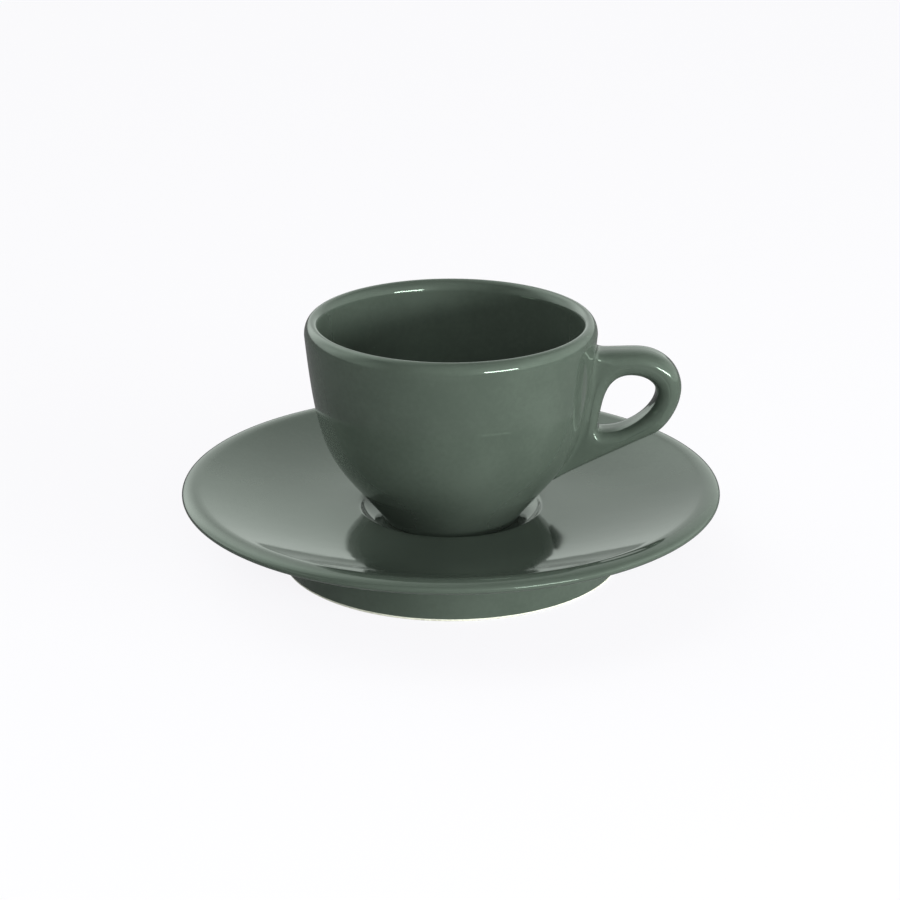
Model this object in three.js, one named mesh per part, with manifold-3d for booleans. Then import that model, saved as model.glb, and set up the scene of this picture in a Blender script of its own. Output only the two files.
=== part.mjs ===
// Espresso cup and saucer in dark glazed porcelain. Millimetres, +Z up.
// The origin is the middle of the ring that the saucer stands on, and the handle points along +X.
import * as THREE from "three";
import { mergeVertices } from "three/addons/utils/BufferGeometryUtils.js";
import Module from "manifold-3d";

// Saucer
const saucerRadius = 60;
const saucerHeight = 18;
const edgeThickness = 2.9;
const edgeDepth = 2.9; // how far in from the outline the rounding of the edge starts
const dishSlope = 13; // degrees, where the dish runs up to the edge
const undersideSlope = 15; // degrees, where the underside runs up to the edge
const dishRise = 0.26; // share of the dish's width that keeps its slope
const dishFlat = 0.35; // share of the dish's width that lies nearly level, beside the well
const undersideFlat = 0.55; // share of the underside's width that keeps its slope
const seatHeight = 9.8; // floor of the well, where the cup stands
const saucerFloor = 4.2; // porcelain between the seat and the recess below it
const wellDepth = 2.7;
const wellFlare = 3; // how much wider the well is at its edge than at its floor
const wellEdgeRounding = 0.8;
const standRadius = 38; // outside of the foot ring where it meets the table
const standWidth = 4.5;
const standHeight = 6.5; // straight wall of the foot ring
const standDraft = 0.6; // how much the foot ring widens over that height
const standRounding = 0.8;
const recessFillet = 1.5;

// Cup, measured up from the seat
const cupHeight = 45.9;
const lipRadius = 32.2; // outside of the wall where the rounded lip starts
const lipThickness = 3.5;
const lipRise = 3; // height over which the lip rounds over
const baseThickness = 4.2; // the wall just above the foot
const floorThickness = 3.8;
const bowlRise = 5; // height over which the wall rounds into the floor inside
const footRadius = 15.2;
const footHeight = 1.4;
const footFlare = 0.67; // how much the foot widens over its height
const footWidth = 3.4;
const footRecess = 1.6;
const bellyAngle = 37.5; // degrees from upright, where the wall leaves the foot
const lipAngle = 5.35; // degrees from upright, where the wall reaches the lip
const bellyPull = 0.424; // how long the wall holds each of those angles, as shares of its height
const lipPull = 0.721;
const footClearance = 2; // room round the foot on the floor of the well

// Handle: heights are counted down from the lip, reaches out from the lip's outside
const handleWidth = 8.9;
const handleRounding = 2; // of the bar's edges, seen from the side
const handleSide = 3.2; // and how far that rounding runs across the width
const handleReach = 18.7;
const noseDrop = 15.8; // the point that reaches furthest out
const crownInset = 9.9; // from the nose back to the highest point of the loop
const crownDrop = 6.95;
const shoulderReach = 2;
const shoulderDrop = 7.05; // where the loop's upper side runs level into the wall
const kneeInset = 5.9; // from the nose back to where the round turns into the straight lower arm
const kneeFall = 10.55; // and down to it
const armAngle = 24.8; // degrees below level
const crownThickness = 5.75;
const noseThickness = 5.55;
const armThickness = 5.3; // by the cup, where the arm is straight on both sides
const holeInset = 1.4; // from the crown back to the highest point of the finger hole
const holeLag = 1; // from the nose down to the widest point of the finger hole
const cornerRounding = 1.6; // the sharp lower corner of the finger hole
const webThickness = 4.4; // porcelain between the wall and that corner
const webLean = 0.8; // how far the hole's side by the cup leans out as it rises
const jointGap = 0.3; // between the handle and the wall that it is stuck to

const turns = 60; // facets round the axis
const wasm = await Module();
wasm.setup();

const point = (x, y) => new THREE.Vector2(x, y);

// A point at a distance and an angle from upright
const along = (from, degrees, distance) => {
  const angle = THREE.MathUtils.degToRad(degrees);
  return point(from.x + distance * Math.sin(angle), from.y + distance * Math.cos(angle));
};

// Turns a profile of radius and height round +Z
function revolve(profile) {
  return new THREE.LatheGeometry(profile, turns).rotateX(Math.PI / 2);
}

function solidOf(geometry) {
  const bare = geometry.clone();
  bare.deleteAttribute("normal");
  bare.deleteAttribute("uv");
  const merged = mergeVertices(bare, 1e-3);
  return new wasm.Manifold(
    new wasm.Mesh({
      numProp: 3,
      vertProperties: new Float32Array(merged.attributes.position.array),
      triVerts: new Uint32Array(merged.index.array),
    }),
  );
}

function geometryOf(solid) {
  const mesh = solid.getMesh();
  const geometry = new THREE.BufferGeometry();
  geometry.setAttribute("position", new THREE.BufferAttribute(mesh.vertProperties, 3));
  geometry.setIndex(new THREE.BufferAttribute(mesh.triVerts, 1));
  geometry.computeVertexNormals();
  return geometry;
}

// The saucer's profile, from the middle of its underside round the edge to the middle of the well
function saucerProfile() {
  const ceiling = seatHeight - saucerFloor;
  const standInside = standRadius - standWidth;
  const standTop = standRadius + standDraft;
  const edge = point(saucerRadius - edgeDepth, saucerHeight - edgeThickness / 2);
  const roundness = (2 * edgeDepth) / edgeThickness;
  const overrun = (degrees) => Math.atan(Math.tan(THREE.MathUtils.degToRad(degrees)) * roundness);
  const under = overrun(undersideSlope);
  const over = overrun(dishSlope);
  const edgePoint = (angle) =>
    point(edge.x + edgeDepth * Math.cos(angle), edge.y + (edgeThickness / 2) * Math.sin(angle));
  const underEnd = edgePoint(-Math.PI / 2 - under);
  const dishEnd = edgePoint(Math.PI / 2 + over);
  const wellFloor = footRadius + footClearance;
  const wellEdge = wellFloor + wellFlare;
  const wellTop = seatHeight + wellDepth;
  const flange = underEnd.x - standTop;
  const dish = dishEnd.x - wellEdge;
  const underPull = along(underEnd, 270 - undersideSlope, flange * undersideFlat);
  const dishPull = along(dishEnd, 270 - dishSlope, dish * dishRise);

  const stand = new THREE.Path();
  stand.moveTo(0, ceiling);
  stand.lineTo(standInside - recessFillet, ceiling);
  stand.quadraticCurveTo(standInside, ceiling, standInside, ceiling - recessFillet);
  stand.lineTo(standInside, standRounding);
  stand.quadraticCurveTo(standInside, 0, standInside + standRounding, 0);
  stand.lineTo(standRadius - standRounding, 0);
  stand.quadraticCurveTo(standRadius, 0, standRadius, standRounding);

  const plate = new THREE.Path();
  plate.moveTo(standTop, standHeight);
  plate.bezierCurveTo(standTop, underPull.y, underPull.x, underPull.y, underEnd.x, underEnd.y);
  plate.absellipse(
    edge.x,
    edge.y,
    edgeDepth,
    edgeThickness / 2,
    -Math.PI / 2 - under,
    Math.PI / 2 + over,
    false,
  );
  plate.bezierCurveTo(
    dishPull.x,
    dishPull.y,
    wellEdge + dish * dishFlat,
    wellTop + wellEdgeRounding / 2,
    wellEdge + wellEdgeRounding,
    wellTop,
  );

  const well = new THREE.Path();
  well.moveTo(wellEdge + wellEdgeRounding, wellTop);
  well.quadraticCurveTo(wellEdge, wellTop, wellEdge - wellEdgeRounding / 2, wellTop - wellEdgeRounding);
  well.quadraticCurveTo(wellEdge - wellFlare / 2, seatHeight, wellFloor, seatHeight);
  well.lineTo(0, seatHeight);
  return [...stand.getPoints(3), ...plate.getPoints(6), ...well.getPoints(3).slice(1)];
}

// The outside of the cup's wall, one curve from the top of the foot to the lip
function wallCurve() {
  const foot = point(footRadius + footFlare, footHeight);
  const lip = point(lipRadius, cupHeight - lipRise);
  const rise = lip.y - foot.y;
  return new THREE.CubicBezierCurve(
    foot,
    along(foot, bellyAngle, rise * bellyPull),
    along(lip, 180 + lipAngle, rise * lipPull),
    lip,
  );
}

// A point of the wall moved out along its normal, or in where the distance is negative
function besideWall(wall, share, distance) {
  const at = wall.getPoint(share);
  const run = wall.getTangent(share);
  return point(at.x + run.y * distance, at.y - run.x * distance);
}

// The radius of the wall's outside at a height
function wallRadius(wall, height) {
  let low = 0;
  let high = 1;
  for (let step = 0; step < 40; step++) {
    const middle = (low + high) / 2;
    if (wall.getPoint(middle).y < height) low = middle;
    else high = middle;
  }
  return wall.getPoint(low).x;
}

// The cup's profile, from the middle of its underside up the outside, over the lip and down to the floor
function cupProfile(wall) {
  const floor = footRecess + floorThickness;
  const lip = wall.getPoint(1);
  const outside = new THREE.Path();
  outside.moveTo(0, footRecess);
  outside.lineTo(footRadius - footWidth - footFlare, footRecess);
  outside.lineTo(footRadius - footWidth, 0);
  outside.lineTo(footRadius, 0);
  const rounding = new THREE.EllipseCurve(
    lip.x - lipThickness / 2,
    lip.y,
    lipThickness / 2,
    lipRise,
    0,
    Math.PI,
    false,
  );

  const steps = 16;
  const inside = [];
  let meeting = 0;
  for (let step = steps - 1; step > 0; step--) {
    const share = step / steps;
    const thickness = THREE.MathUtils.lerp(baseThickness, lipThickness, share);
    const inner = besideWall(wall, share, -thickness);
    if (inner.y < floor + bowlRise) break;
    inside.push(inner);
    meeting = share;
  }
  // The bowl runs on from the wall's last slope and levels out on the floor
  const last = inside[inside.length - 1];
  const slope = wall.getTangent(meeting);
  const corner = point(last.x - ((last.y - floor) * slope.x) / slope.y, floor);
  const bowl = new THREE.QuadraticBezierCurve(
    last,
    corner,
    point(corner.x - corner.distanceTo(last), floor),
  );

  return [
    ...outside.getPoints(1),
    ...wall.getPoints(steps),
    ...rounding.getPoints(8).slice(1),
    ...inside,
    ...bowl.getPoints(5).slice(1),
    point(0, floor),
  ];
}

// The solid inside the wall's outside, grown by the joint's gap, which cuts the handle's seat
function seatBlank(wall) {
  const steps = 16;
  const profile = [point(0, -footHeight)];
  for (let step = 0; step <= steps; step++) {
    profile.push(besideWall(wall, step / steps, jointGap));
  }
  profile.push(point(lipRadius + jointGap, cupHeight + footHeight));
  profile.push(point(0, cupHeight + footHeight));
  return solidOf(revolve(profile));
}

// The loop seen from the side: its outline runs on into the cup, and its hole leaves the bar its thickness
function handleOutline(wall) {
  const at = (reach, drop) => point(lipRadius + reach, cupHeight - drop);
  const buried = lipThickness * 4; // how deep the outline runs into the cup before the seat is cut
  const armRun = Math.tan(THREE.MathUtils.degToRad(armAngle));
  const nose = at(handleReach, noseDrop);
  const crown = at(handleReach - crownInset, crownDrop);
  const shoulder = at(shoulderReach, shoulderDrop);
  const knee = point(nose.x - kneeInset, nose.y - kneeFall);
  const tip = point(lipRadius - buried, knee.y - (knee.x - lipRadius + buried) * armRun);
  const round = 0.55; // pull of a quarter round
  const tight = 0.45; // pull of the turn from the nose into the arm
  const square = 0.75; // pull of the hole's upper corner by the cup
  const sweep = 0.38; // pull of the hole's lower side along the arm
  const kneePull = along(knee, 90 - armAngle, kneeInset * tight);

  const outline = new THREE.Shape();
  outline.moveTo(tip.x, tip.y);
  outline.lineTo(knee.x, knee.y);
  outline.bezierCurveTo(
    kneePull.x,
    kneePull.y,
    nose.x,
    nose.y - kneeFall * tight,
    nose.x,
    nose.y,
  );
  outline.bezierCurveTo(
    nose.x,
    nose.y + (noseDrop - crownDrop) * round,
    crown.x + crownInset * round,
    crown.y,
    crown.x,
    crown.y,
  );
  outline.quadraticCurveTo((crown.x + shoulder.x) / 2, crown.y, shoulder.x, shoulder.y);
  outline.lineTo(lipRadius - buried, shoulder.y);
  outline.closePath();

  // The lower side of the hole follows the arm's lower edge and ends level at its corner by the cup
  const armTop = (x) => knee.y + (x - knee.x) * armRun + armThickness * Math.hypot(1, armRun);
  const holeTop = point(crown.x - holeInset, crown.y - crownThickness);
  const holeNose = point(nose.x - noseThickness, nose.y - holeLag);
  const webEdge = wallRadius(wall, armTop(lipRadius)) + webThickness;
  const armStart = point(webEdge + cornerRounding, armTop(webEdge + cornerRounding));
  const web = point(webEdge, armStart.y + cornerRounding);

  const hole = new THREE.Path();
  hole.moveTo(holeTop.x, holeTop.y);
  hole.bezierCurveTo(
    holeTop.x + (holeNose.x - holeTop.x) * round,
    holeTop.y,
    holeNose.x,
    holeNose.y + (holeTop.y - holeNose.y) * round,
    holeNose.x,
    holeNose.y,
  );
  hole.bezierCurveTo(
    holeNose.x,
    holeNose.y - (holeNose.y - armStart.y) * tight,
    armStart.x + (holeNose.x - armStart.x) * sweep,
    armStart.y,
    armStart.x,
    armStart.y,
  );
  hole.quadraticCurveTo(web.x, armStart.y, web.x, web.y);
  hole.bezierCurveTo(
    web.x + webLean,
    web.y + (holeTop.y - web.y) * round,
    holeTop.x - (holeTop.x - web.x) * square,
    holeTop.y,
    holeTop.x,
    holeTop.y,
  );
  outline.holes.push(hole);
  return outline;
}

function handleGeometry(wall) {
  // The rounding leaves a flat on the bar's side and another on its faces
  const thinnest = Math.min(crownThickness, noseThickness, armThickness);
  const rounding = Math.min(handleRounding, thinnest * 0.4);
  const side = Math.min(handleSide, handleWidth * 0.45);
  const bar = new THREE.ExtrudeGeometry(handleOutline(wall), {
    depth: handleWidth - 2 * side,
    bevelThickness: side,
    bevelSize: rounding,
    bevelOffset: -rounding,
    bevelSegments: 4,
    curveSegments: 9,
  });
  bar.translate(0, 0, side - handleWidth / 2).rotateX(Math.PI / 2);
  return geometryOf(solidOf(bar).subtract(seatBlank(wall)));
}

function glaze(colour, roughness) {
  return new THREE.MeshStandardMaterial({ color: colour, roughness, metalness: 0 });
}

function piece(name, geometry, material) {
  const mesh = new THREE.Mesh(geometry, material);
  mesh.name = name;
  return mesh;
}

const wall = wallCurve();
const cup = new THREE.Group();
cup.position.z = seatHeight;
cup.add(piece("cup_body", revolve(cupProfile(wall)), glaze(0x3d423e, 0.08)));
cup.add(piece("cup_handle", handleGeometry(wall), glaze(0x3d423e, 0.08)));

const cupAndSaucer = new THREE.Group();
cupAndSaucer.add(piece("saucer", revolve(saucerProfile()), glaze(0x424743, 0.1)));
cupAndSaucer.add(cup);

export default cupAndSaucer;
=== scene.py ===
import math

import bmesh
import bpy
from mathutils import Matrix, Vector


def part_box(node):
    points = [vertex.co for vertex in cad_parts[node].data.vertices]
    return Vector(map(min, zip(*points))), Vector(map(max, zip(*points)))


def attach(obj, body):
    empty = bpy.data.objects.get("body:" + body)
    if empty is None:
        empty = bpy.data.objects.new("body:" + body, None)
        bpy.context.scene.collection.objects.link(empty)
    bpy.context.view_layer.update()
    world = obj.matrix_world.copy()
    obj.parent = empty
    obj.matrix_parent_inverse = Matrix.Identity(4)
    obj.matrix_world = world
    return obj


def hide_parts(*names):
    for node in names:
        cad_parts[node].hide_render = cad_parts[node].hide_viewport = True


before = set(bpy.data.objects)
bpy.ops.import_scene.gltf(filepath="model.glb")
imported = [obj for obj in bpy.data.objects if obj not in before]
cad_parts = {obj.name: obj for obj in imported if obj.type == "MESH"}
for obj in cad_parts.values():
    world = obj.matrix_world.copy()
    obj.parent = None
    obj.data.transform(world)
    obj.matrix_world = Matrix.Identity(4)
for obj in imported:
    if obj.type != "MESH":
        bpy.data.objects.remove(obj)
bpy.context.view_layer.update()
mm = 0.001  # sizes below are in millimetres, heights are from the table


# curves that the outlines are drawn with; each gives its points without the first one
def blendPoints(points, share):
    while len(points) > 1:
        points = [a.lerp(b, share) for a, b in zip(points, points[1:])]
    return points[0]


def curve(*points, steps):
    handles = [Vector(p) for p in points]
    return [blendPoints(handles, step / steps) for step in range(1, steps + 1)]


def roundEnd(centre, across, up, start, end, steps):
    made = []
    for step in range(1, steps + 1):
        turn = math.radians(start + (end - start) * step / steps)
        made.append(Vector((centre[0] + across * math.cos(turn), centre[1] + up * math.sin(turn))))
    return made


def polar(degrees, length):  # degrees up from level, pointing outwards
    turn = math.radians(degrees)
    return Vector((math.cos(turn), math.sin(turn))) * length


# one vertex is drawn out along the profile and spun, as on a potter's wheel
def throwOnWheel(name, profile, steps):
    bpy.ops.object.select_all(action="DESELECT")
    bpy.ops.mesh.primitive_plane_add(size=mm)
    piece = bpy.context.object
    piece.name = name
    piece.data.name = name
    bpy.ops.object.mode_set(mode="EDIT")
    bpy.ops.mesh.select_all(action="SELECT")
    bpy.ops.mesh.merge(type="CENTER")
    bpy.ops.transform.translate(value=(profile[0].x * mm, 0, profile[0].y * mm))
    for here, there in zip(profile, profile[1:]):
        move = (there - here) * mm
        bpy.ops.mesh.extrude_vertices_move(TRANSFORM_OT_translate={"value": (move.x, 0, move.y)})
    bpy.ops.mesh.select_all(action="SELECT")
    bpy.ops.mesh.spin(steps=steps, angle=2 * math.pi, center=(0, 0, 0), axis=(0, 0, 1))
    bpy.ops.mesh.select_all(action="SELECT")
    bpy.ops.mesh.remove_doubles(threshold=0.001 * mm)
    bpy.ops.mesh.normals_make_consistent(inside=False)
    bpy.ops.object.mode_set(mode="OBJECT")
    bpy.ops.object.shade_smooth()
    print(name, "thrown,", len(piece.data.polygons), "faces")
    return piece


# saucer
saucerLow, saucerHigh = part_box("saucer")
cupLow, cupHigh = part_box("cup_body")
saucer = {
    "radius": saucerHigh.x / mm,
    "height": saucerHigh.z / mm,
    "seat": cupLow.z / mm,  # floor of the well, where the cup stands
    "edgeThick": 2.9,
    "edgeDeep": 2.9,  # how far in from the outline the rolled edge starts
    "dishSlope": 17.5,
    "dishHold": 15.7,  # pulls the dish along that slope
    "dishStart": 26.5,  # it lies nearly level from the well out to here
    "dishLift": 0.12,
    "underSlope": 15,
    "underHold": 9.6,
    "floorThick": 4.2,
    "wellRadius": 17.2,
    "wellDeep": 2.7,
    "wellFlare": 3.0,
    "wellFloor": 15.6,  # level from the middle out to here
    "wellRound": 0.8,
    "wellLean": 0.4,  # how far in the wall is below its rounded brink
    "wellPull": (1.8, 0.3),  # in from the edge and up from the floor
    "bareTop": 0.7,  # the glaze is wiped off up to here
    "footRadius": 38.0,
    "footWide": 4.5,
    "footTall": 6.5,
    "footDraft": 0.6,
    "footRound": 0.8,
    "recessRound": 1.5,
    "hub": 3.0,  # the smallest ring of faces round the axis
    "seatRing": 14.0,
    "edgeSteps": 28,
    "curveSteps": 26,
    "cornerSteps": 6,
    "steps": 200,
}


def saucerProfile():
    s = saucer
    ceiling = s["seat"] - s["floorThick"]
    inner = s["footRadius"] - s["footWide"]
    outer = s["footRadius"]
    neck = outer + s["footDraft"]
    half = s["edgeThick"] / 2
    edge = Vector((s["radius"] - s["edgeDeep"], s["height"] - half))
    ratio = s["edgeDeep"] / half
    underTurn = math.degrees(math.atan(math.tan(math.radians(s["underSlope"])) * ratio))
    dishTurn = math.degrees(math.atan(math.tan(math.radians(s["dishSlope"])) * ratio))
    rolled = roundEnd(edge, s["edgeDeep"], half, -90 - underTurn, 90 + dishTurn, s["edgeSteps"])
    underStart = roundEnd(edge, s["edgeDeep"], half, 0, -90 - underTurn, 1)[0]
    underPull = underStart - polar(s["underSlope"], s["underHold"])
    dishPull = rolled[-1] - polar(s["dishSlope"], s["dishHold"])
    wellEdge = s["wellRadius"] + s["wellFlare"]
    wellTop = s["seat"] + s["wellDeep"]
    brink = Vector((wellEdge + s["wellRound"], wellTop))
    fillet = s["recessRound"]
    ringRound = s["footRound"]
    wellWall = Vector((wellEdge - s["wellLean"], wellTop - s["wellRound"]))
    wellPull = Vector((wellEdge - s["wellPull"][0], s["seat"] + s["wellPull"][1]))
    few = s["cornerSteps"]
    many = s["curveSteps"]
    points = [Vector((0, ceiling)), Vector((s["hub"], ceiling)), Vector((inner - fillet, ceiling))]
    points += curve(points[-1], (inner, ceiling), (inner, ceiling - fillet), steps=few)
    points += curve((inner, ringRound), (inner, 0), (inner + ringRound, 0), steps=few)
    points += curve((outer - ringRound, 0), (outer, 0), (outer, ringRound), steps=few)
    points += curve((outer, ringRound), (neck, s["footTall"]), steps=few)
    points += curve(points[-1], (neck, underPull.y), underPull, underStart, steps=many)
    points += rolled
    points += curve(rolled[-1], dishPull, (s["dishStart"], wellTop + s["dishLift"]), steps=many)
    points += curve(points[-1], brink, steps=4)
    points += curve(brink, (wellEdge, wellTop), wellWall, steps=5)
    points += curve(wellWall, wellPull, (s["wellFloor"], s["seat"]), steps=10)
    points += [Vector((radius, s["seat"])) for radius in (s["seatRing"], s["hub"], 0)]
    return points


saucerPiece = throwOnWheel("saucer_porcelain", saucerProfile(), saucer["steps"])

# cup
cup = {
    "seat": cupLow.z / mm,
    "top": cupHigh.z / mm,
    "lipRadius": cupHigh.x / mm,
    "lipRise": 3.0,
    "lipThick": 3.5,
    "baseThick": 4.2,
    "floorThick": 3.8,
    "bowlRise": 5.0,
    "footRadius": 15.2,
    "footTall": 1.4,
    "footFlare": 0.67,
    "footWide": 3.4,
    "footRecess": 1.6,
    "footRound": 0.4,
    "footLean": 0.15,
    "footBevel": 0.3,  # on the inside of the ring
    "recessRound": 0.6,
    "bareTop": 0.15,  # above the seat, the glaze is wiped off up to here
    "bellyAngle": 52.5,  # degrees up from level, where the wall leaves the foot
    "lipAngle": 84.65,
    "bellyPull": 17.6,
    "lipPull": 29.9,
    "hub": 3.0,
    "wallSteps": 44,
    "lipSteps": 26,
    "bowlSteps": 14,
    "steps": 200,
}


def wallHandles():
    c = cup
    foot = Vector((c["footRadius"] + c["footFlare"], c["seat"] + c["footTall"]))
    lip = Vector((c["lipRadius"], c["top"] - c["lipRise"]))
    belly = foot + polar(c["bellyAngle"], c["bellyPull"])
    shoulder = lip - polar(c["lipAngle"], c["lipPull"])
    return foot, belly, shoulder, lip


def wallPoint(share, out=0):  # a point of the cup's outside, moved out along its normal
    nudge = 0.001
    handles = wallHandles()
    here = blendPoints(handles, share)
    ahead = blendPoints(handles, share + nudge)
    run = (ahead - here).normalized()
    return here + Vector((run.y, -run.x)) * out


def wallRadius(height):  # the cup's outside at a height, found by halving
    low, high = 0.0, 1.0
    for turn in range(30):
        middle = (low + high) / 2
        if wallPoint(middle).y < height:
            low = middle
        else:
            high = middle
    return wallPoint(low).x


def cupProfile():
    c = cup
    underside = c["seat"] + c["footRecess"]
    floor = underside + c["floorThick"]
    ring = c["footRadius"] - c["footWide"]
    recess = ring - c["footFlare"]
    seat = c["seat"]
    outer = c["footRadius"]
    bend = c["footRound"]
    foot, bellyPull, lipPull, lip = wallHandles()
    steps = c["wallSteps"]
    points = [Vector((0, underside)), Vector((c["hub"], underside))]
    points.append(Vector((recess - c["recessRound"], underside)))
    points += curve(points[-1], (recess, underside), (ring, seat + c["footBevel"]), steps=4)
    points += curve(points[-1], (ring, seat), (ring + bend, seat), steps=3)
    points += curve((outer - bend, seat), (outer, seat), (outer + c["footLean"], seat + bend), steps=4)
    points += curve(points[-1], foot, steps=3)
    points += curve(foot, bellyPull, lipPull, lip, steps=steps)
    half = c["lipThick"] / 2
    points += roundEnd((lip.x - half, lip.y), half, c["lipRise"], 0, 180, c["lipSteps"])
    wall = []
    for step in range(steps - 1, 0, -1):
        share = step / steps
        thick = c["baseThick"] + (c["lipThick"] - c["baseThick"]) * share
        inside = wallPoint(share, -thick)
        if inside.y < floor + c["bowlRise"]:
            break
        wall.append(inside)
    points += wall
    run = (wall[-1] - wall[-2]).normalized()
    corner = wall[-1] + run * ((floor - wall[-1].y) / run.y)
    reach = (corner - wall[-1]).length
    points += curve(wall[-1], corner, (corner.x - reach, floor), steps=c["bowlSteps"])
    points += [Vector((c["hub"], floor)), Vector((0, floor))]
    return points


cupPiece = throwOnWheel("cup_porcelain", cupProfile(), cup["steps"])

# handle: closed sections that go once round the finger hole, those beside the cup end under its surface
handleLow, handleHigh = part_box("cup_handle")
handle = {
    "reach": handleHigh.x / mm,
    "crownTop": handleHigh.z / mm,
    "width": 8.9,
    "noseFall": 8.85,  # from the highest point down to the one that reaches furthest out
    "crownInset": 9.9,
    "kneeInset": 5.9,
    "kneeFall": 10.55,
    "armAngle": 24.8,
    "armLong": 26.4,
    "quarter": 0.55,  # pull of a quarter round
    "turn": 0.45,  # pull of the turn from the nose into the arm
    "shoulder": (34.2, 48.64),
    "holeTop": (39.6, 43.0),
    "holeNose": (45.35, 38.9),
    "holeFall": 3.9,  # pulls the hole's end straight down
    "holeTurn": (40.2, 30.5),  # pulls the lower side of the hole flat
    "armTop": (34.4, 30.3),
    "corner": (32.55, 30.25),
    "web": (32.6, 31.6),
    "webLean": (33.4, 37.2),
    "webTop": (34.2, 43.0),
    "sideRound": 3.2,
    "depthRound": 2.5,
    "fillet": 0.9,  # glaze in the corner between the handle and the wall
    "sink": 0.05,  # how far its edge dips under the cup's surface
    "buried": 1.6,  # how far its hidden side lies in the cup's wall
    "soften": 3,  # rounds of smoothing
}


def handleOutline():
    h = handle
    nose = Vector((h["reach"], h["crownTop"] - h["noseFall"]))
    crown = Vector((h["reach"] - h["crownInset"], h["crownTop"]))
    shoulder = Vector(h["shoulder"])
    knee = nose - Vector((h["kneeInset"], h["kneeFall"]))
    armRun = polar(h["armAngle"], 1)
    holeTop = Vector(h["holeTop"])
    holeNose = Vector(h["holeNose"])
    armTop = Vector(h["armTop"])
    web = Vector(h["web"])
    quarter = h["quarter"]
    noseLow = nose - Vector((0, h["kneeFall"] * h["turn"]))
    kneeOut = knee + armRun * h["kneeInset"] * h["turn"]
    holeLow = holeNose - Vector((0, h["holeFall"]))
    return {
        "shoulder": [shoulder, Vector(((crown.x + shoulder.x) / 2, crown.y)), crown],
        "bow": [
            crown,
            crown + Vector((h["crownInset"] * quarter, 0)),
            nose + Vector((0, h["noseFall"] * quarter)),
            nose,
        ],
        "turn": [nose, noseLow, kneeOut, knee],
        "arm": [knee, knee - armRun * h["armLong"]],
        "holeBow": [
            holeTop,
            Vector((holeTop.x + (holeNose.x - holeTop.x) * quarter, holeTop.y)),
            Vector((holeNose.x, holeNose.y + (holeTop.y - holeNose.y) * quarter)),
            holeNose,
        ],
        "holeTurn": [holeNose, holeLow, Vector(h["holeTurn"]), armTop],
        "holeCorner": [armTop, Vector(h["corner"]), web],
        "holeWeb": [web, Vector(h["webLean"]), Vector(h["webTop"]), holeTop],
    }


def roundEdge(inner, along):
    # half of the hole's rounded edge, from the middle of the bar out to its side
    half = handle["width"] / 2
    side = handle["sideRound"]
    deep = handle["depthRound"]
    made = [(inner, 0), (inner, half - side)]
    for turn in (30, 60, 90):
        lean = math.radians(turn)
        made.append((inner + along * deep * (1 - math.cos(lean)), half - side + side * math.sin(lean)))
    return made


def freeSection(inner, outer):
    half = handle["width"] / 2
    along = (outer - inner).normalized()
    section = roundEdge(inner, along)
    far = roundEdge(outer, -along)
    section += [(section[-1][0].lerp(far[-1][0], share), half) for share in (0.33, 0.67)]
    return section + list(reversed(far))


def onWall(side, height, out=0.0):
    radius = wallRadius(height) + out
    return Vector((math.sqrt(radius * radius - side * side), height)), side


def wallSection(inner, height):
    # from the hole's edge straight back, in a small fillet onto the wall and out of sight
    half = handle["width"] / 2
    fillet = handle["fillet"]
    buried = handle["buried"]
    root = onWall(0, height)[0]
    section = roundEdge(inner, (root - inner).normalized())
    near = onWall(half, height, fillet * 1.2)
    section.append(((section[-1][0] + near[0]) / 2, half))
    section += [near, onWall(half + fillet * 0.25, height, fillet * 0.3)]
    section.append(onWall(half + fillet, height, -handle["sink"]))
    section.append(onWall(half * 0.8, height, -buried * 0.75))
    section += [onWall(half * share, height, -buried) for share in (0.4, 0)]
    return section


def rootSection(inner, edge):
    # the upper or lower end as it leaves the wall: half-widths, heights and how far they stand off
    half = handle["width"] / 2
    outline = [onWall(*place) for place in edge]
    section = roundEdge(inner, (outline[-1][0] - inner).normalized())
    section.append(((section[-1][0] + outline[0][0]) / 2, half))
    return section + outline


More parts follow.
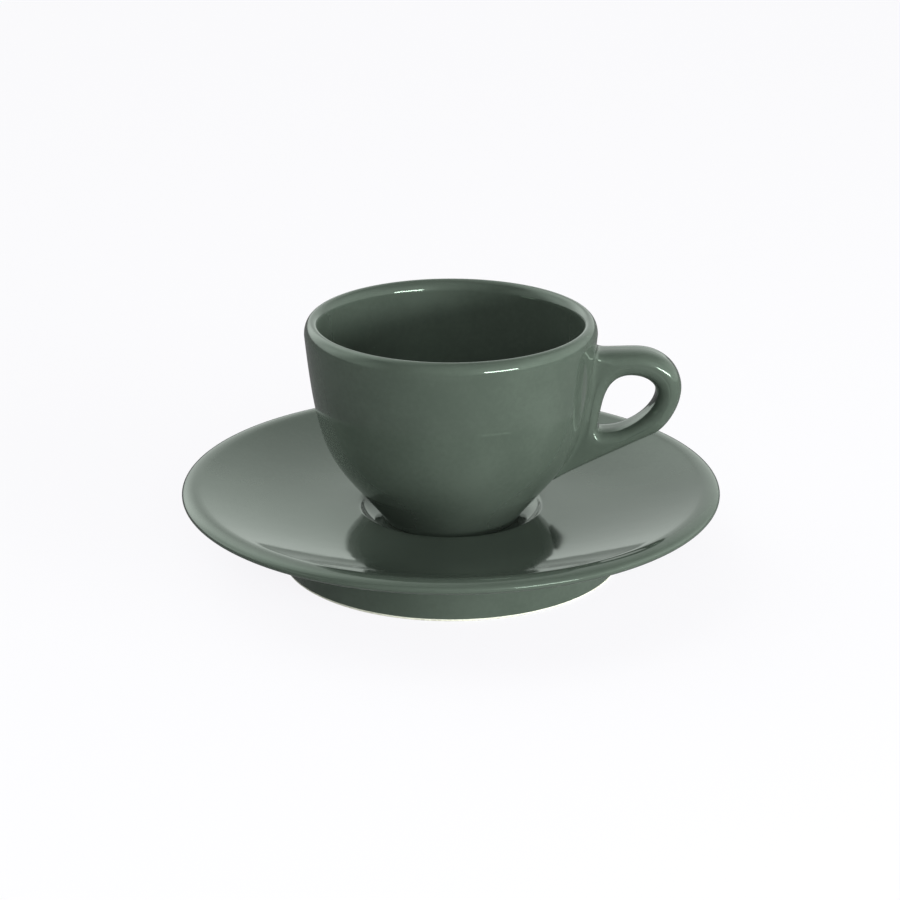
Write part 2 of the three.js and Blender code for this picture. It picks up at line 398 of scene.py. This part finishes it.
def handleSections():
    line = handleOutline()
    half = handle["width"] / 2
    sink = -handle["sink"]

    def at(name, share):
        return blendPoints(line[name], share)

    # from the wall over the crown and the nose down the arm, inner line first
    sections = []
    turnEnd = 0.42  # share of the hole's lower side that goes with the turn
    armFree = 0.52  # share of the arm that goes with the rest of it
    for step in range(3):
        sections.append(freeSection(at("holeWeb", 0.82 + 0.06 * step), at("shoulder", step / 3)))
    for step in range(7):
        sections.append(freeSection(at("holeBow", step / 7), at("bow", step / 7)))
    for step in range(7):
        sections.append(freeSection(at("holeTurn", step / 7 * turnEnd), at("turn", step / 7)))
    for step in range(6):
        inner = at("holeTurn", turnEnd + step / 6 * (1 - turnEnd))
        sections.append(freeSection(inner, at("arm", step / 6 * armFree)))
    for share, along in ((0.1, 0.56), (0.3, 0.68), (0.46, 0.79), (0.58, 0.87)):
        sections.append(freeSection(at("holeCorner", share), at("arm", along)))
    # the arm's tip on the belly, up the wall beside the hole, and the top end as it comes away
    tip = [(half, 22.8, 1.0), (4.7, 21.4, 0.27), (5.2, 20.2, sink), (4.2, 19.0, sink), (2.2, 18.4, sink)]
    sections.append(rootSection(at("holeCorner", 0.68), tip + [(0, 18.2, sink)]))
    for name, share, height in (
        ("holeCorner", 0.84, 25.0),
        ("holeWeb", 0.0, 28.4),
        ("holeWeb", 0.12, 31.6),
        ("holeWeb", 0.26, 34.8),
        ("holeWeb", 0.4, 38.0),
        ("holeWeb", 0.52, 41.0),
        ("holeWeb", 0.62, 43.6),
        ("holeWeb", 0.69, 45.6),
    ):
        sections.append(wallSection(at(name, share), height))
    top = [(half, 46.8, 1.0), (4.7, 47.4, 0.27), (5.2, 48.0, sink), (4.2, 49.1, sink), (2.2, 49.5, sink)]
    sections.append(rootSection(at("holeWeb", 0.73), top + [(0, 49.6, sink)]))
    top = [(half, 46.6, 1.4), (4.55, 47.3, 0.8), (4.5, 48.0, 0.35), (3.5, 48.7, 0.35), (1.8, 49.0, 0.35)]
    sections.append(rootSection(at("holeWeb", 0.76), top + [(0, 49.0, 0.35)]))
    top = [(half, 46.3, 2.0), (4.4, 47.2, 1.5), (4.0, 47.95, 1.2), (2.8, 48.5, 1.1), (1.25, 48.68, 1.1)]
    sections.append(rootSection(at("holeWeb", 0.79), top + [(0, 48.68, 1.1)]))
    return sections


def holdShape(rings):
    # subdividing draws a cage in, by weights of 16, 4 and 1, so each point is first let out by as much
    count = len(rings)
    held = []
    for i, ring in enumerate(rings):
        before, after = rings[i - 1], rings[(i + 1) % count]
        size = len(ring)
        row = []
        for j, point in enumerate(ring):
            left, right = j - 1, (j + 1) % size
            beside = ring[left] + ring[right] + before[j] + after[j]
            across = before[left] + before[right] + after[left] + after[right]
            row.append(point * 2 - (point * 16 + beside * 4 + across) / 36)
        held.append(row)
    return held


def buildHandle(name):
    sections = handleSections()
    rings = []
    for section in sections:
        near = [Vector((point.x, -side, point.y)) for point, side in section]
        far = [Vector((point.x, side, point.y)) for point, side in reversed(section[1:-1])]
        rings.append(near + far)
    rings = holdShape(rings)
    count = len(rings[0])
    bpy.ops.object.select_all(action="DESELECT")
    bpy.ops.mesh.primitive_circle_add(vertices=count, radius=handle["width"] / 2 * mm)
    piece = bpy.context.object
    piece.name = name
    piece.data.name = name
    place = piece.data.attributes.new("place", "INT", "POINT")
    place.data.foreach_set("value", range(count))
    bpy.ops.object.mode_set(mode="EDIT")
    bpy.ops.mesh.select_all(action="SELECT")
    for index, ring in enumerate(rings):
        if index:
            bpy.ops.mesh.extrude_edges_move()
        mesh = bmesh.from_edit_mesh(piece.data)
        layer = mesh.verts.layers.int["place"]
        for vert in mesh.verts:
            if vert.select:
                vert.co = ring[vert[layer]] * mm
        bmesh.update_edit_mesh(piece.data)
    bpy.ops.mesh.select_all(action="DESELECT")
    bpy.ops.mesh.select_non_manifold()  # the two open ends of the loop
    bpy.ops.mesh.bridge_edge_loops()
    bpy.ops.mesh.select_all(action="SELECT")
    bpy.ops.mesh.remove_doubles(threshold=0.001 * mm)
    bpy.ops.mesh.normals_make_consistent(inside=False)
    bpy.ops.object.mode_set(mode="OBJECT")
    piece.data.attributes.remove(piece.data.attributes["place"])
    smooth = piece.modifiers.new("smooth", "SUBSURF")
    smooth.levels = 2
    smooth.render_levels = 2
    bpy.ops.object.modifier_apply(modifier="smooth")
    soften = piece.modifiers.new("soften", "SMOOTH")
    soften.factor = 0.5
    soften.iterations = handle["soften"]
    bpy.ops.object.modifier_apply(modifier="soften")
    bpy.ops.object.shade_smooth()
    print(name, "built,", len(piece.data.polygons), "faces")
    return piece


handlePiece = buildHandle("handle_porcelain")


# shader maths: a socket that can stand in a plain expression
class Wire:
    def __init__(self, tree, socket=None):
        self.tree = tree
        self.socket = socket

    def node(self, kind, settings=None, sockets=None, output=0):
        made = self.tree.nodes.new(kind)
        for name, value in (settings or {}).items():
            setattr(made, name, value)
        for name, value in (sockets or {}).items():
            if isinstance(value, Wire):
                self.tree.links.new(value.socket, made.inputs[name])
            else:
                made.inputs[name].default_value = value
        return Wire(self.tree, made.outputs[output] if made.outputs else None)

    def maths(self, operation, first, second):
        return self.node("ShaderNodeMath", {"operation": operation}, {0: first, 1: second})

    def __add__(self, other):
        return self.maths("ADD", self, other)

    def __radd__(self, other):
        return self.maths("ADD", other, self)

    def __sub__(self, other):
        return self.maths("SUBTRACT", self, other)

    def __rsub__(self, other):
        return self.maths("SUBTRACT", other, self)

    def __mul__(self, other):
        return self.maths("MULTIPLY", self, other)

    def __rmul__(self, other):
        return self.maths("MULTIPLY", other, self)


def newTree(owner):
    owner.use_nodes = True
    owner.node_tree.nodes.clear()
    return Wire(owner.node_tree)


def ease(value, low, high, start=0.0, end=1.0):  # from start to end while value goes from low to high
    sockets = {"Value": value, "From Min": low, "From Max": high, "To Min": start, "To Max": end}
    return value.node("ShaderNodeMapRange", {"interpolation_type": "SMOOTHSTEP"}, sockets)


def mixColour(mask, first, second):
    return mask.node("ShaderNodeMix", {"data_type": "RGBA"}, {0: mask, 6: first, 7: second}, 2)


def noise(place, scale, detail):
    return place.node("ShaderNodeTexNoise", None, {"Vector": place, "Scale": scale, "Detail": detail})


# glaze: dark grey-green and glossy, a little uneven, thin at the edge, wiped off where a piece stands
glaze = {
    "deep": (0.041, 0.050, 0.042, 1),
    "light": (0.050, 0.060, 0.051, 1),
    "thin": (0.047, 0.056, 0.048, 1),
    "speck": (0.30, 0.33, 0.30, 1),
    "clay": (0.60, 0.57, 0.51, 1),
    "clayShade": (0.47, 0.44, 0.39, 1),
    "cloud": 55.0,  # patches of about 18 mm
    "cloudSpan": (0.3, 0.7),
    "grain": 900.0,
    "grainShare": 0.35,  # how much the grain breaks up the patches
    "specks": 110.0,
    "speckSize": 0.022,  # share of the room that a speck has
    "speckCore": 0.6,
    "speckShare": 0.8,
    "ripple": 140.0,
    "rippleHeight": 0.02,  # millimetres
    "gloss": 0.055,
    "glossSpread": 0.035,
    "glossSpan": (0.35, 0.75),
    "thinInset": 0.3,  # millimetres in from the edge, where it is thinnest
    "thinWide": 1.6,
    "thinWander": 0.8,
    "thinShare": 0.6,
    "bareFade": 0.1,  # millimetres over which the glaze ends
    "claySpan": (0.35, 0.65),
    "clayRough": 0.85,
    "clayGrain": 2.0,
    "tint": (0.855, 1.0, 0.885, 1),
    "refraction": 1.5,
}


def glazeMaterial(name, bareTop, edge, edgeAxis):
    # bareTop is how high it is wiped clean, edge is a height or a reach
    g = glaze
    material = bpy.data.materials.new(name)
    tree = newTree(material)
    place = tree.node("ShaderNodeTexCoord", None, None, "Object")
    height = tree.node("ShaderNodeSeparateXYZ", None, {"Vector": place}, "Z")
    flat = tree.node("ShaderNodeVectorMath", {"operation": "MULTIPLY"}, {0: place, 1: (1, 1, 0)})
    reach = tree.node("ShaderNodeVectorMath", {"operation": "LENGTH"}, {0: flat}, "Value")
    cloud = noise(place, g["cloud"], 3)
    grain = noise(place, g["grain"], 2)
    speck = tree.node("ShaderNodeTexVoronoi", None, {"Vector": place, "Scale": g["specks"]}, "Distance")
    # masks
    along = height if edgeAxis == "height" else reach
    wander = (cloud - 0.5) * (g["thinWide"] * g["thinWander"] * mm)
    thinnest = edge - g["thinInset"]
    thin = ease(along + wander, (thinnest - g["thinWide"]) * mm, thinnest * mm)
    uneven = height + (grain - 0.5) * (g["bareFade"] * mm)
    bare = ease(uneven, (bareTop - g["bareFade"]) * mm, bareTop * mm, 1.0, 0.0)
    dot = ease(speck, g["speckSize"] * g["speckCore"], g["speckSize"], 1.0, 0.0)
    patch = ease(cloud + (grain - 0.5) * g["grainShare"], *g["cloudSpan"])
    # colour, gloss and relief
    colour = mixColour(patch, g["deep"], g["light"])
    colour = mixColour(thin * g["thinShare"], colour, g["thin"])
    colour = mixColour(dot * g["speckShare"], colour, g["speck"])
    clay = mixColour(ease(grain, *g["claySpan"]), g["clayShade"], g["clay"])
    colour = mixColour(bare, colour, clay)
    dull = ease(cloud, *g["glossSpan"]) * g["glossSpread"]
    rough = g["gloss"] + dull + bare * g["clayRough"]
    ripple = noise(place, g["ripple"], 1) + grain * bare * g["clayGrain"]
    relief = {"Height": ripple, "Strength": 1.0, "Distance": g["rippleHeight"] * mm}
    bump = tree.node("ShaderNodeBump", None, relief)
    surface = {
        "Base Color": colour,
        "Roughness": rough,
        "Normal": bump,
        "IOR": g["refraction"],
        "Specular Tint": g["tint"],
    }
    shader = tree.node("ShaderNodeBsdfPrincipled", None, surface)
    tree.node("ShaderNodeOutputMaterial", None, {"Surface": shader})
    return material


saucerGlaze = glazeMaterial("saucerGlaze", saucer["bareTop"], saucer["radius"], "reach")
cupGlaze = glazeMaterial("cupGlaze", cup["seat"] + cup["bareTop"], cup["top"], "height")
for piece, body, node, slot, finish in (
    (saucerPiece, "saucer", "saucer", "saucer_glaze", saucerGlaze),
    (cupPiece, "cup", "cup_body", "cup_glaze", cupGlaze),
    (handlePiece, "cup", "cup_handle", "cup_glaze", cupGlaze),
):
    piece.data.materials.clear()
    piece.data.materials.append(finish)
    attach(piece, body)
    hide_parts(node)
print("glazed")

# floor: white to the eye, dimmer in the glaze, and it keeps the shadow
paper = {
    "colour": (0.8, 0.8, 0.8, 1),
    "white": (0.985, 0.975, 1.0, 1),
    "whiteShare": 0.9,  # of what the eye sees, the rest takes the shadow
    "mirrored": 0.2,  # how bright it is in the glaze
    "size": 8,  # metres
}


def layFloor():
    bpy.ops.object.select_all(action="DESELECT")
    bpy.ops.mesh.primitive_plane_add(size=paper["size"])
    made = bpy.context.object
    made.name = "floor"
    material = bpy.data.materials.new("floorPaper")
    made.data.materials.append(material)
    tree = newTree(material)
    seen = tree.node("ShaderNodeLightPath", None, None, "Is Camera Ray")
    mirrored = tree.node("ShaderNodeLightPath", None, None, "Is Glossy Ray")
    through = tree.node("ShaderNodeLightPath", None, None, "Is Transmission Ray")
    matte = tree.node("ShaderNodeBsdfDiffuse", None, {"Color": paper["colour"]})
    level = seen + through + mirrored * paper["mirrored"]
    bright = tree.node("ShaderNodeEmission", None, {"Color": paper["white"], "Strength": level})
    share = seen * paper["whiteShare"] + through + mirrored
    mixed = tree.node("ShaderNodeMixShader", None, {0: share, 1: matte, 2: bright})
    tree.node("ShaderNodeOutputMaterial", None, {"Surface": mixed})


layFloor()
print("floor laid")

# camera
camera = {
    "azimuth": -1.0,
    "elevation": 20.337,
    "distance": 600.0,
    "aim": 25.04,  # height that it looks at
    "aside": -0.2,
    "lens": 107.68,
    "sensor": 36,
    "nearest": 10.0,
}


def outward(around, above):  # a direction from the object: degrees right of the camera, degrees up
    turn = math.radians(around + camera["azimuth"])
    rise = math.radians(above)
    return Vector((math.sin(turn) * math.cos(rise), -math.cos(turn) * math.cos(rise), math.sin(rise)))


def placeCamera():
    around = math.radians(camera["azimuth"])
    back = outward(0, camera["elevation"])
    right = Vector((math.cos(around), math.sin(around), 0))
    aim = Vector((0, 0, camera["aim"])) + right * camera["aside"]
    bpy.ops.object.camera_add(location=(aim + back * camera["distance"]) * mm)
    made = bpy.context.object
    made.rotation_euler = (-back).to_track_quat("-Z", "Y").to_euler()
    made.data.lens = camera["lens"]
    made.data.sensor_width = camera["sensor"]
    made.data.clip_start = camera["nearest"] * mm
    bpy.context.scene.camera = made


placeCamera()
print("camera placed")

# light: soft white walls, two soft boxes that the glaze does not show and one that it does
room = {
    "level": 0.1,
    "colour": (0.92, 1.0, 0.94, 1),
    "core": 5,  # degrees from a wall's middle to where it starts to fade
    "walls": {
        # degrees right of the camera, degrees up, degrees to where it ends, level
        "back": (180, 20, 60, 1.1),
        "leftBack": (-125, 30, 45, 2.0),
        "right": (95, 6, 50, 1.2),
        "frontRight": (40, 8, 36, 1.0),
        "front": (0, 26, 42, 0.35),
        "highLeft": (-120, 62, 34, 0.8),
        "left": (-85, 8, 40, 0.9),
    },
}
lamps = {
    "away": 900.0,  # place is degrees right of the camera and degrees up
    "key": {"place": (56, 8), "size": (600, 240), "level": 30, "mirrored": False},
    "fill": {"place": (0, 25), "size": (500, 300), "level": 7.5, "mirrored": False},
    "glint": {"place": (38, 10), "size": (420, 70), "level": 40, "mirrored": True},
}


def lightRoom():
    world = bpy.data.worlds.new("room")
    bpy.context.scene.world = world
    tree = newTree(world)
    look = tree.node("ShaderNodeTexCoord", None, None, "Generated")
    level = room["level"]
    core = math.cos(math.radians(room["core"]))
    for around, above, end, strength in room["walls"].values():
        edge = math.cos(math.radians(end))
        pair = {0: look, 1: outward(around, above)}
        nearness = tree.node("ShaderNodeVectorMath", {"operation": "DOT_PRODUCT"}, pair, "Value")
        level = level + ease(nearness, edge, core, 0.0, strength)
    seen = tree.node("ShaderNodeLightPath", None, None, "Is Camera Ray")
    light = tree.node("ShaderNodeBackground", None, {"Color": room["colour"], "Strength": level})
    backdrop = tree.node("ShaderNodeBackground", None, {"Color": paper["white"]})
    sky = tree.node("ShaderNodeMixShader", None, {0: seen, 1: light, 2: backdrop})
    tree.node("ShaderNodeOutputWorld", None, {"Surface": sky})


def hangLamp(name):
    lamp = lamps[name]
    wide, tall = lamp["size"]
    way = outward(*lamp["place"])
    bpy.ops.object.light_add(type="AREA", location=way * lamps["away"] * mm)
    made = bpy.context.object
    made.name = name
    made.rotation_euler = way.to_track_quat("Z", "Y").to_euler()
    made.data.shape = "RECTANGLE"
    made.data.size = wide * mm
    made.data.size_y = tall * mm
    made.data.energy = lamp["level"] * math.pi * wide * tall * mm * mm
    made.data.color = room["colour"][:3]
    made.visible_camera = False
    made.visible_glossy = lamp["mirrored"]


lightRoom()
for name in ("key", "fill", "glint"):
    hangLamp(name)
print("lit")
bpy.context.scene.view_settings.view_transform = "Standard"
